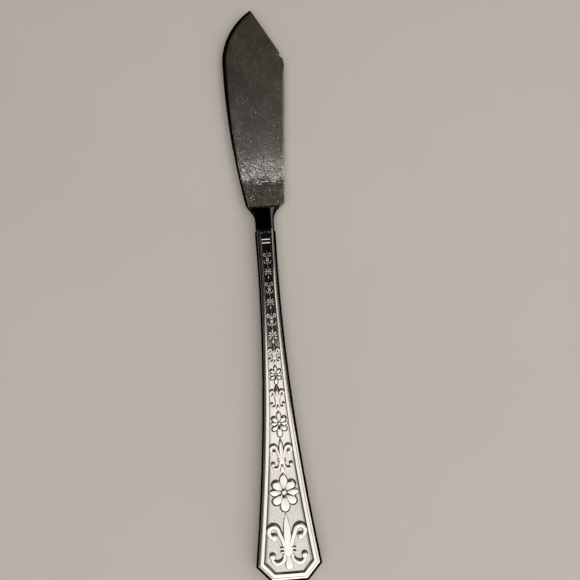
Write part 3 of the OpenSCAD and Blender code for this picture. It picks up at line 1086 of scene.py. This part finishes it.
def mix_value(tree, share, first, second):
    return put(tree, "ShaderNodeMix", {0: share, 2: first, 3: second}, data_type="FLOAT").outputs[0]


def bump(tree, height, distance, strength, before=None):
    inputs = {"Height": height, "Distance": distance, "Strength": strength}
    if before is not None:
        inputs["Normal"] = before
    return put(tree, "ShaderNodeBump", inputs).outputs[0]


def new_material(name):
    """A material with its nodes, its shader and the place on the object."""
    material = bpy.data.materials.new(name)
    material.use_nodes = True
    tree = material.node_tree
    shader = tree.nodes["Principled BSDF"]
    place = put(tree, "ShaderNodeTexCoord").outputs["Object"]
    return material, tree, shader, place


def feed(tree, shader, **values):
    """Links values to the shader's sockets of the same names."""
    for name, value in values.items():
        tree.links.new(value, shader.inputs[name.replace("_", " ").title()])


def attribute(tree, name):
    return put(tree, "ShaderNodeAttribute", attribute_name=name).outputs["Fac"]


# Materials

def silver_plate():
    """Worn silver plate, matted on the panel's wide end, with tarnish and painted shade in the hollows and
    painted shade toward the mouth.
    """
    material, tree, shader, place = new_material("silver_plate")
    patina = attribute(tree, "patina")
    panel = attribute(tree, "panel")
    station = put(tree, "ShaderNodeSeparateXYZ", {0: place}).outputs["Y"]
    # Painted shade toward the mouth for the dark reflection there, with some tarnish: nearly full on the
    # panel's floor, slight on the border and ornament
    upper = fade(tree, station, UPPER_START, UPPER_END)
    upper = combine(tree, "MULTIPLY", upper, mix_value(tree, panel, 0.08, 0.98))
    cloud = group_node(tree, CLOUDS, place, scale=160.0, low=0.42, high=0.7)["Mask"]
    broken = group_node(tree, CLOUDS, place, scale=2600.0, low=0.3, high=0.75)["Mask"]
    fine = group_node(tree, SCRATCHES, place, angle=0.5, fineness=5200.0, length=40.0)
    cross = group_node(tree, SCRATCHES, place, angle=-0.9, fineness=4300.0, length=28.0, low=0.63, high=0.7)
    stipple = put(tree, "ShaderNodeTexVoronoi", {"Vector": place, "Scale": 2600.0}).outputs["Distance"]

    # Tarnish and painted shade together set how dark the plate's colour and its reflection's tint are
    tarnish_and_painted_shade = combine(tree, "MAXIMUM", patina, upper)
    dark = combine(tree, "MULTIPLY", tarnish_and_painted_shade, mix_value(tree, broken, 0.92, 1.0))
    bright = mix_colour(tree, cloud, (0.88, 0.82, 0.75, 1), (0.80, 0.74, 0.66, 1))
    matted = mix_colour(tree, fade(tree, stipple, 0.1, 0.6), (0.51, 0.48, 0.44, 1), (0.67, 0.63, 0.58, 1))
    cleaned = fade(tree, station, MATTED_END, BRIGHT_START)
    sunk = mix_colour(tree, cleaned, matted, (0.84, 0.78, 0.70, 1))
    plain = mix_colour(tree, panel, bright, sunk)
    # Near-black colour for tarnish and for the painted shade
    tarnish = mix_colour(tree, broken, (0.006, 0.005, 0.004, 1), (0.022, 0.019, 0.016, 1))
    colour = mix_colour(tree, dark, plain, tarnish)
    reflection_tint = mix_colour(tree, tarnish_and_painted_shade, (1, 1, 1, 1), (0.08, 0.075, 0.07, 1))

    worn = combine(tree, "MULTIPLY", combine(tree, "ADD", fine["Mask"], cross["Mask"]), 0.06)
    smooth = mix_value(tree, panel, 0.08, mix_value(tree, cleaned, 0.24, 0.1))
    rough = combine(tree, "ADD", combine(tree, "ADD", smooth, worn), combine(tree, "MULTIPLY", dark, 0.1))
    lines = bump(tree, combine(tree, "ADD", fine["Grain"], cross["Grain"]), 0.004 * mm, 0.35)
    matting = combine(tree, "MULTIPLY", panel, combine(tree, "SUBTRACT", 1.0, cleaned))
    relief = bump(tree, combine(tree, "MULTIPLY", stipple, matting), 0.05 * mm, 0.25, lines)
    feed(tree, shader, base_color=colour, specular_tint=reflection_tint, roughness=rough, normal=relief)
    shader.inputs["Metallic"].default_value = 1.0
    return material


def knock_mask(tree, place, from_ledge, distance, left, right):
    """Mask of one thin line across the blade at a distance from the ledge."""
    across = put(tree, "ShaderNodeSeparateXYZ", {0: place}).outputs["X"]
    off = combine(tree, "ABSOLUTE", combine(tree, "SUBTRACT", from_ledge, distance))
    away = combine(tree, "ABSOLUTE", combine(tree, "SUBTRACT", across, (left + right) / 2))
    line = fade(tree, off, 0.5 * KNOCK_WIDTH, KNOCK_WIDTH, 1.0, 0.0)
    ends = fade(tree, away, 0.3 * (right - left), 0.5 * (right - left), 1.0, 0.0)
    return combine(tree, "MULTIPLY", line, ends)


def steel_marks(tree, place, from_ledge, uneven, patch, speckle):
    """Mask of the scuffs above the heel, two knocks, scattered specks and a few scratches.

    Uneven is the distance from the ledge with a ragged edge to it.
    """
    dust = group_node(tree, CLOUDS, place, scale=2600.0, low=0.45, high=0.7)["Mask"]
    specks = group_node(tree, CLOUDS, place, scale=1900.0, low=0.61, high=0.66)["Mask"]
    steep = group_node(tree, SCRATCHES, place, angle=0.3, fineness=3600.0, length=30.0, low=0.62, high=0.72)

    scuff_start = fade(tree, uneven, *SCUFF_RISE_SPAN)
    scuff_end = combine(tree, "POWER", fade(tree, uneven, *SCUFF_FALL_SPAN, 1.0, 0.0), 2.2)
    scuffs = combine(tree, "MULTIPLY", scuff_start, scuff_end)
    scuffs = combine(tree, "MULTIPLY", scuffs, mix_value(tree, speckle, 0.05, 1.7))
    scuffs = combine(tree, "MULTIPLY", scuffs, mix_value(tree, patch, 0.3, 1.0))
    knocks = combine(tree, "MAXIMUM", *[knock_mask(tree, place, from_ledge, *knock) for knock in KNOCKS])
    specks = combine(tree, "MULTIPLY", specks, mix_value(tree, patch, 0.2, 0.8))
    dots = combine(tree, "ADD", combine(tree, "MULTIPLY", dust, 0.12), specks)
    dots = combine(tree, "MULTIPLY", dots, fade(tree, from_ledge, *SPECK_SPAN, 1.3, 0.5))
    scored = combine(tree, "MULTIPLY", steep["Mask"], 0.07)
    small = combine(tree, "ADD", dots, scored)
    marks = combine(tree, "ADD", combine(tree, "MAXIMUM", scuffs, knocks), small)
    return combine(tree, "MINIMUM", marks, 1.0)


def steel_colour(tree, place, from_ledge, uneven, speckle, neck):
    """Steel that is warmer toward the tip, brown at the heel, painted dark at the neck for its black
    reflection, and stained at the ledge.
    """
    cloud = group_node(tree, CLOUDS, place, scale=110.0, low=0.35, high=0.65)["Mask"]
    mottle = group_node(tree, CLOUDS, place, scale=700.0, low=0.45, high=0.65)["Mask"]
    near_heel = mix_colour(tree, cloud, (0.51, 0.475, 0.40, 1), (0.38, 0.355, 0.30, 1))
    near_tip = mix_colour(tree, cloud, (0.39, 0.345, 0.25, 1), (0.28, 0.25, 0.185, 1))
    steel = mix_colour(tree, fade(tree, from_ledge, *WARM_SPAN), near_heel, near_tip)
    brown = mix_colour(tree, mottle, (0.16, 0.128, 0.095, 1), (0.27, 0.23, 0.175, 1))
    steel = mix_colour(tree, fade(tree, uneven, *BROWN_SPAN, 0.9, 0.0), steel, brown)
    # Painted dark reflection: the polished neck's colour is near black
    steel = mix_colour(tree, neck, steel, (0.08, 0.078, 0.074, 1))
    off_ledge = combine(tree, "ABSOLUTE", from_ledge)
    stain_and_painted_shadow = combine(tree, "MULTIPLY", fade(tree, off_ledge, *STAIN_SPAN, 0.8, 0.0), speckle)
    return mix_colour(tree, stain_and_painted_shadow, steel, (0.10, 0.055, 0.03, 1))


def blade_steel():
    """Dull steel with fine brushing and marks, polished at the ground edge and on the neck, which is painted
    dark for its black reflection.
    """
    material, tree, shader, place = new_material("blade_steel")
    neck = attribute(tree, "polish")
    polish = combine(tree, "MAXIMUM", neck, attribute(tree, "ground"))
    brushed = combine(tree, "SUBTRACT", 1.0, polish)
    station = put(tree, "ShaderNodeSeparateXYZ", {0: place}).outputs["Y"]
    patch = group_node(tree, CLOUDS, place, scale=400.0, low=0.38, high=0.62)["Mask"]
    speckle = group_node(tree, CLOUDS, place, scale=2200.0, low=0.50, high=0.57)["Mask"]
    brush = group_node(tree, SCRATCHES, place, angle=0.04, fineness=7000.0, length=36.0)["Grain"]
    from_ledge = combine(tree, "SUBTRACT", station, LEDGE_Y)
    uneven = combine(tree, "ADD", from_ledge, combine(tree, "MULTIPLY", patch, RAGGED_EDGE))

    marks = steel_marks(tree, place, from_ledge, uneven, patch, speckle)
    marks = combine(tree, "MULTIPLY", marks, brushed)
    steel = steel_colour(tree, place, from_ledge, uneven, speckle, neck)
    colour = mix_colour(tree, marks, steel, (0.82, 0.80, 0.76, 1))
    # The neck's reflection tint is painted dark too
    reflection_tint = mix_colour(tree, neck, (1, 1, 1, 1), (0.12, 0.12, 0.12, 1))

    dull = combine(tree, "ADD", mix_value(tree, brush, 0.26, 0.40), combine(tree, "MULTIPLY", marks, 0.3))
    rough = mix_value(tree, polish, dull, 0.07)
    grain = combine(tree, "MULTIPLY", combine(tree, "ADD", brush, marks), brushed)
    relief = bump(tree, grain, 0.008 * mm, 0.5)
    bare = combine(tree, "SUBTRACT", 1.0, combine(tree, "MULTIPLY", marks, 0.8))
    feed(tree, shader, base_color=colour, specular_tint=reflection_tint, roughness=rough,
         metallic=bare, normal=relief)
    return material


def silver_solder():
    """Polished solder with faint pits."""
    material, tree, shader, place = new_material("silver_solder")
    pits = group_node(tree, CLOUDS, place, scale=3000.0, low=0.55, high=0.75)["Mask"]
    colour = mix_colour(tree, pits, (0.66, 0.64, 0.60, 1), (0.30, 0.27, 0.23, 1))
    rough = mix_value(tree, pits, 0.25, 0.5)
    feed(tree, shader, base_color=colour, roughness=rough, normal=bump(tree, pits, 0.01 * mm, 0.4))
    shader.inputs["Metallic"].default_value = 1.0
    return material


def filler_cement():
    """Dull cast filler of resin and chalk."""
    material, tree, shader, place = new_material("filler_cement")
    lumps = group_node(tree, CLOUDS, place, scale=900.0, low=0.35, high=0.7)["Mask"]
    colour = mix_colour(tree, lumps, (0.62, 0.55, 0.45, 1), (0.48, 0.41, 0.32, 1))
    rough = mix_value(tree, lumps, 0.75, 0.9)
    feed(tree, shader, base_color=colour, roughness=rough, normal=bump(tree, lumps, 0.05 * mm, 0.5))
    return material


def pale_floor():
    material, tree, shader, place = new_material("pale_floor")
    cloud = group_node(tree, CLOUDS, place, scale=6.0, low=0.2, high=0.8)["Mask"]
    feed(tree, shader, base_color=mix_colour(tree, cloud, (0.66, 0.60, 0.53, 1), (0.63, 0.57, 0.50, 1)))
    shader.inputs["Roughness"].default_value = 0.9
    return material


# Stage, in metres

LAMP_HEIGHT = 0.75
FLOOR_REACH = 6.0


def soft_box(name, x, y, width, depth, radiance):
    """Soft rectangular lamp that shines down, its surface as bright as the radiance says."""
    data = bpy.data.lights.new(name, "AREA")
    data.shape = "RECTANGLE"
    data.size = width
    data.size_y = depth
    data.energy = radiance * math.pi * width * depth
    new_object(name, data).location = (x, y, LAMP_HEIGHT)


def studio():
    """Floor, lamps and a sky that is bright behind the camera and dark ahead, above a pale horizon."""
    floor_mesh = bpy.data.meshes.new("floor")
    corners = ((-1, -1), (1, -1), (1, 1), (-1, 1))
    floor_mesh.from_pydata([(FLOOR_REACH * x, FLOOR_REACH * y, 0) for x, y in corners], [], [(0, 1, 2, 3)])
    floor_mesh.materials.append(pale_floor())
    new_object("floor", floor_mesh)

    soft_box("overhead_soft_box", 0.72, -1.01, 2.55, 2.38, 1.02)
    soft_box("right_soft_box", 0.48, 0.87, 0.4, 1.46, 1.1)
    soft_box("left_soft_box", -0.37, 0.2, 0.37, 0.07, 0.9)

    world = bpy.data.worlds.new("studio_world")
    bpy.context.scene.world = world
    world.use_nodes = True
    tree = world.node_tree
    towards = put(tree, "ShaderNodeTexCoord").outputs["Generated"]
    direction = put(tree, "ShaderNodeSeparateXYZ", {0: towards}).outputs
    sky = fade(tree, direction["Y"], -0.6, 0.3, 0.45, 0.004)
    horizon = fade(tree, direction["Z"], 0.2, 0.42, 0.3, 0.0)
    background = tree.nodes["Background"].inputs
    tree.links.new(combine(tree, "MAXIMUM", sky, horizon), background["Strength"])
    background["Color"].default_value = (0.95, 0.96, 1.0, 1)


def photo_camera():
    """Camera above the handle's end, at the photograph's angle, for a square picture."""
    picture_side, focal_length, sensor = 580, 760, 36.0
    right, behind, above = 0.64 * mm, 77.57 * mm, 208.05 * mm
    tilt, turn = math.radians(18.2), math.radians(4.418)
    data = bpy.data.cameras.new("camera")
    data.sensor_width = sensor
    data.lens = sensor * focal_length / picture_side
    data.clip_start = 0.01
    camera = new_object("camera", data)
    camera.location = (right, -behind, SEAM_Z + above)
    camera.rotation_euler = (tilt, 0, -turn)
    bpy.context.scene.camera = camera


def main():
    bpy.context.scene.view_settings.view_transform = "Standard"
    studio()
    photo_camera()

    plate = silver_plate()
    front, back = handle_shells(plate)
    blade = forged_blade(blade_steel())
    for piece, node, slot in (
        (front, "front_handle_shell", "handle_plate"),
        (back, "back_handle_shell", "handle_plate"),
        (blade, "blade", "blade_steel"),
    ):
        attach(piece, "root")
        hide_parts(node)

    solder, cement = silver_solder(), filler_cement()
    for node, material in (("seam_solder", solder), ("mouth_solder", solder), ("handle_cement", cement)):
        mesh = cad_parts[node].data
        mesh.materials.clear()
        mesh.materials.append(material)


main()
